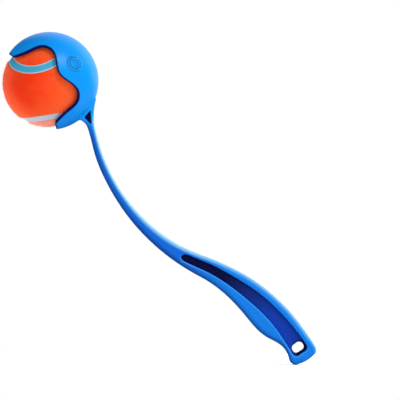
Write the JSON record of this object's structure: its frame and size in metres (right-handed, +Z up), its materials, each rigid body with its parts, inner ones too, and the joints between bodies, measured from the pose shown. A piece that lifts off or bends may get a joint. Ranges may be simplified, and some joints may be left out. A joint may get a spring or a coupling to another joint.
{
  "type": "pet ball launcher",
  "caption": "Hand-held ball launcher: an S-curved springy plastic stem with a recessed grip and a round snap cup that holds a felt ball.",
  "frame": {"origin": "middle of the grip, on the stem's middle line", "axes": "+Z up and +Y through the depth, with the launcher standing as it is held in the picture: the cup up and towards -X"},
  "size_m": [0.2317, 0.07, 0.2459],
  "materials": {
    "launcher_plastic": "smooth moulded",
    "ball_felt": "napped felt",
    "seam_rubber": "matt",
    "core_rubber": "matt"
  },
  "bodies": {
    "grip": {"handle": "launcher_plastic", "arm_shaft": "launcher_plastic"},
    "cup": {"arm_tip": "launcher_plastic", "ball_cup": "launcher_plastic"},
    "upper_lip": {"upper_lip": "launcher_plastic"},
    "lower_lip": {"lower_lip": "launcher_plastic"},
    "ball": {"core_half_a": "core_rubber", "core_half_b": "core_rubber", "felt_panel_a": "ball_felt", "felt_panel_b": "ball_felt", "seam_band": "seam_rubber"}
  },
  "joints": [
    {"name": "arm_flex", "type": "hinge", "parent": "grip", "child": "cup", "pos_m": [-0.09529, 0, 0.07557], "axis": [0, 1, 0], "range_deg": [-10, 15], "stiffness_Nm_per_rad": 6},
    {"name": "upper_lip_flex", "type": "hinge", "parent": "cup", "child": "upper_lip", "pos_m": [-0.1487, 0, 0.19118], "axis": [0, 1, 0], "range_deg": [0, 6], "stiffness_Nm_per_rad": 1.8},
    {"name": "lower_lip_flex", "type": "hinge", "parent": "cup", "child": "lower_lip", "pos_m": [-0.12296, 0, 0.1255], "axis": [0, -1, 0], "range_deg": [0, 4], "stiffness_Nm_per_rad": 1.8},
    {"name": "ball_release", "type": "slide", "parent": "cup", "child": "ball", "axis": [-0.8443, 0, -0.5358], "range_m": [0, 0.06], "deforming": ["upper_lip", "lower_lip"]}
  ]
}
